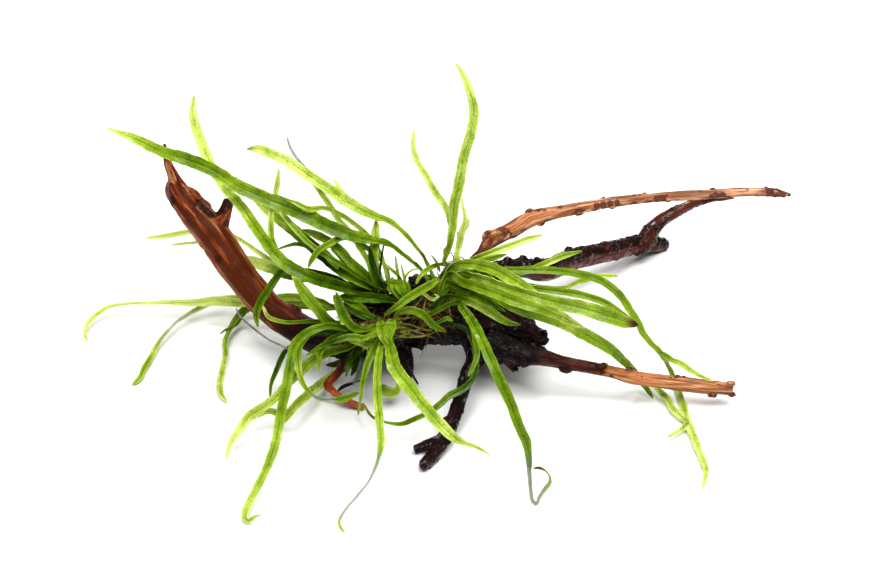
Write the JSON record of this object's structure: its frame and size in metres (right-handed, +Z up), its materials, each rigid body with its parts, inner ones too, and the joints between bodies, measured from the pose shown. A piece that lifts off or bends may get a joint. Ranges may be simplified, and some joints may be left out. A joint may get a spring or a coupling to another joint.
{
  "type": "java fern on driftwood",
  "caption": "Narrow-leaved java fern growing on a small piece of branching root wood that stands on its root tips, for planting an aquarium.",
  "frame": {"origin": "on the table under the middle of the plant's outline, at the height of the root tips it stands on", "axes": "+Z up, +X to the right as the picture shows it, -Y towards the viewer"},
  "size_m": [0.2935, 0.2148, 0.1312],
  "materials": {
    "frond": "thin wet leaf blade, mid green to yellow-green with pale tips, glossy",
    "rhizome": "brown-green scaly rhizome with fine brown roots",
    "dark_wood": "near-black wet root wood, ragged, glossy",
    "red_wood": "red-brown wet root wood with orange streaks",
    "tan_wood": "orange-tan root wood with purple-brown knobs and long cracks"
  },
  "bodies": {
    "root": {"frond_front_01": "frond", "frond_front_02": "frond", "frond_front_03": "frond", "frond_front_04": "frond", "frond_front_05": "frond", "frond_front_06": "frond", "frond_front_07": "frond", "frond_front_08": "frond", "frond_front_09": "frond", "frond_front_10": "frond", "frond_front_11": "frond", "frond_front_12": "frond", "frond_front_13": "frond", "frond_left_01": "frond", "frond_left_02": "frond", "frond_left_03": "frond", "frond_left_04": "frond", "frond_left_05": "frond", "frond_left_06": "frond", "frond_left_07": "frond", "frond_left_08": "frond", "frond_left_09": "frond", "frond_left_10": "frond", "frond_left_11": "frond", "frond_left_12": "frond", "frond_left_13": "frond", "frond_left_14": "frond", "frond_left_15": "frond", "frond_left_16": "frond", "frond_left_17": "frond", "frond_right_01": "frond", "frond_right_02": "frond", "frond_right_03": "frond", "frond_right_04": "frond", "frond_right_05": "frond", "frond_right_06": "frond", "frond_right_07": "frond", "frond_right_08": "frond", "frond_right_09": "frond", "frond_right_10": "frond", "frond_right_11": "frond", "frond_right_12": "frond", "frond_right_13": "frond", "frond_right_14": "frond", "frond_right_15": "frond", "rhizome_front": "rhizome", "rhizome_rear": "rhizome", "rhizome_right": "rhizome", "wood_front_leg": "dark_wood", "wood_hub": "dark_wood", "wood_left_branch": "red_wood", "wood_lower_right_branch": "tan_wood", "wood_middle_right_branch": "dark_wood", "wood_middle_right_twig": "dark_wood", "wood_red_twig": "red_wood", "wood_upper_right_branch": "tan_wood"}
  },
  "joints": []
}
